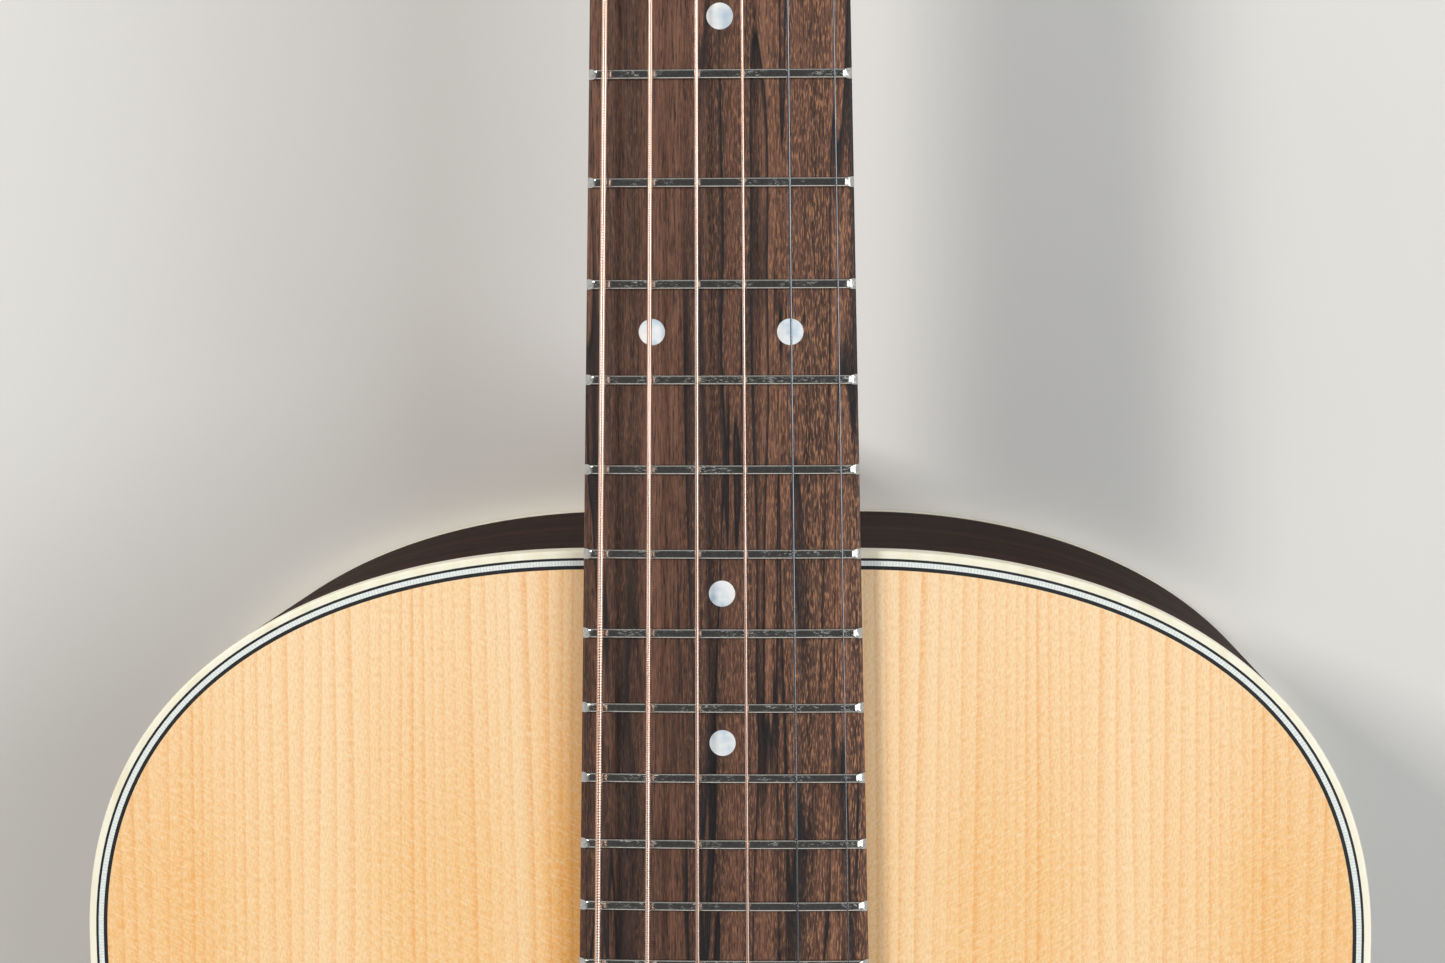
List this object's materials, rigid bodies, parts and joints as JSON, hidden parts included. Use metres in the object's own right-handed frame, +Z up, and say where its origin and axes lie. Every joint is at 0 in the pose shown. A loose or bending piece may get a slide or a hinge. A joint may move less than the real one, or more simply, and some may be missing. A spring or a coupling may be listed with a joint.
{
  "type": "acoustic guitar",
  "caption": "Steel-string flat-top acoustic guitar with a bound hollow body, fretted neck, pinned bridge and open worm-gear tuners that turn the string posts.",
  "frame": {"origin": "on the ground plane, under the middle of the guitar's bounding box, guitar lying on its back", "axes": "+X to the treble side, +Y along the neck towards the headstock, +Z up, out of the soundboard"},
  "size_m": [0.376, 1.0354, 0.1166],
  "materials": {
    "spruce": "lacquered spruce, straight grain",
    "rosewood": "lacquered rosewood",
    "mahogany": "satin mahogany",
    "brace_spruce": "raw spruce",
    "fretboard_wood": "oiled dark hardwood with black streaks",
    "ivory_plastic": "ivory coloured binding",
    "tortoise_plastic": "dark tortoise pattern",
    "bone": "polished bone",
    "nickel": "polished nickel plate",
    "steel": "drawn steel",
    "phosphor_bronze": "phosphor bronze winding",
    "brass": "cut brass"
  },
  "bodies": {
    "guitar": {"back": "rosewood", "back_binding": "ivory_plastic", "bridge": "fretboard_wood", "bridge_pin_1": "bone", "bridge_pin_2": "bone", "bridge_pin_3": "bone", "bridge_pin_4": "bone", "bridge_pin_5": "bone", "bridge_pin_6": "bone", "bridge_plate": "mahogany", "end_pin": "fretboard_wood", "fretboard": "fretboard_wood", "heel_cap": "ivory_plastic", "neck": "mahogany", "neck_block": "mahogany", "nut": "bone", "pickguard": "tortoise_plastic", "post_bushing_1": "nickel", "post_bushing_2": "nickel", "post_bushing_3": "nickel", "post_bushing_4": "nickel", "post_bushing_5": "nickel", "post_bushing_6": "nickel", "saddle": "bone", "side_bass": "rosewood", "side_treble": "rosewood", "soundboard": "spruce", "string_1": "steel", "string_2": "steel", "string_3": "phosphor_bronze", "string_4": "phosphor_bronze", "string_5": "phosphor_bronze", "string_6": "phosphor_bronze", "tail_block": "mahogany", "top_binding": "ivory_plastic", "transverse_brace": "brace_spruce", "truss_rod": "steel", "tuner_plate_bass": "nickel", "tuner_plate_treble": "nickel", "x_brace_bass": "brace_spruce", "x_brace_treble": "brace_spruce"},
    "key_1": {"tuner_key_1": "nickel"},
    "post_1": {"string_post_1": "nickel", "worm_wheel_1": "brass"},
    "key_2": {"tuner_key_2": "nickel"},
    "post_2": {"string_post_2": "nickel", "worm_wheel_2": "brass"},
    "key_3": {"tuner_key_3": "nickel"},
    "post_3": {"string_post_3": "nickel", "worm_wheel_3": "brass"},
    "key_4": {"tuner_key_4": "nickel"},
    "post_4": {"string_post_4": "nickel", "worm_wheel_4": "brass"},
    "key_5": {"tuner_key_5": "nickel"},
    "post_5": {"string_post_5": "nickel", "worm_wheel_5": "brass"},
    "key_6": {"tuner_key_6": "nickel"},
    "post_6": {"string_post_6": "nickel", "worm_wheel_6": "brass"},
    "truss_nut": {"truss_rod_nut": "brass"}
  },
  "joints": [
    {"name": "key_1_turn", "type": "hinge", "parent": "guitar", "child": "key_1", "pos_m": [0.0215, 0.37317, 0.05986], "axis": [1, 0, 0], "continuous": true},
    {"name": "post_1_turn", "type": "hinge", "parent": "guitar", "child": "post_1", "pos_m": [0.0215, 0.38583, 0.07725], "axis": [0, 0.2814, 0.9596], "continuous": true},
    {"name": "key_2_turn", "type": "hinge", "parent": "guitar", "child": "key_2", "pos_m": [0.0215, 0.41443, 0.04776], "axis": [1, 0, 0], "continuous": true},
    {"name": "post_2_turn", "type": "hinge", "parent": "guitar", "child": "post_2", "pos_m": [0.0215, 0.42709, 0.06515], "axis": [0, 0.2814, 0.9596], "continuous": true},
    {"name": "key_3_turn", "type": "hinge", "parent": "guitar", "child": "key_3", "pos_m": [0.0215, 0.45569, 0.03566], "axis": [1, 0, 0], "continuous": true},
    {"name": "post_3_turn", "type": "hinge", "parent": "guitar", "child": "post_3", "pos_m": [0.0215, 0.46835, 0.05305], "axis": [0, 0.2814, 0.9596], "continuous": true},
    {"name": "key_4_turn", "type": "hinge", "parent": "guitar", "child": "key_4", "pos_m": [-0.0215, 0.45569, 0.03566], "axis": [1, 0, 0], "continuous": true},
    {"name": "post_4_turn", "type": "hinge", "parent": "guitar", "child": "post_4", "pos_m": [-0.0215, 0.46835, 0.05305], "axis": [0, 0.2814, 0.9596], "continuous": true},
    {"name": "key_5_turn", "type": "hinge", "parent": "guitar", "child": "key_5", "pos_m": [-0.0215, 0.41443, 0.04776], "axis": [1, 0, 0], "continuous": true},
    {"name": "post_5_turn", "type": "hinge", "parent": "guitar", "child": "post_5", "pos_m": [-0.0215, 0.42709, 0.06515], "axis": [0, 0.2814, 0.9596], "continuous": true},
    {"name": "key_6_turn", "type": "hinge", "parent": "guitar", "child": "key_6", "pos_m": [-0.0215, 0.37317, 0.05986], "axis": [1, 0, 0], "continuous": true},
    {"name": "post_6_turn", "type": "hinge", "parent": "guitar", "child": "post_6", "pos_m": [-0.0215, 0.38583, 0.07725], "axis": [0, 0.2814, 0.9596], "continuous": true},
    {"name": "truss_nut_turn", "type": "hinge", "parent": "guitar", "child": "truss_nut", "pos_m": [0, -0.06297, 0.08842], "axis": [0, 0.9997, -0.0235], "range_deg": [-180, 180]}
  ],
  "couplings": [
    {"joint": "post_1_turn", "follows": "key_1_turn", "ratio": -0.071429},
    {"joint": "post_2_turn", "follows": "key_2_turn", "ratio": -0.071429},
    {"joint": "post_3_turn", "follows": "key_3_turn", "ratio": -0.071429},
    {"joint": "post_4_turn", "follows": "key_4_turn", "ratio": -0.071429},
    {"joint": "post_5_turn", "follows": "key_5_turn", "ratio": -0.071429},
    {"joint": "post_6_turn", "follows": "key_6_turn", "ratio": -0.071429}
  ]
}
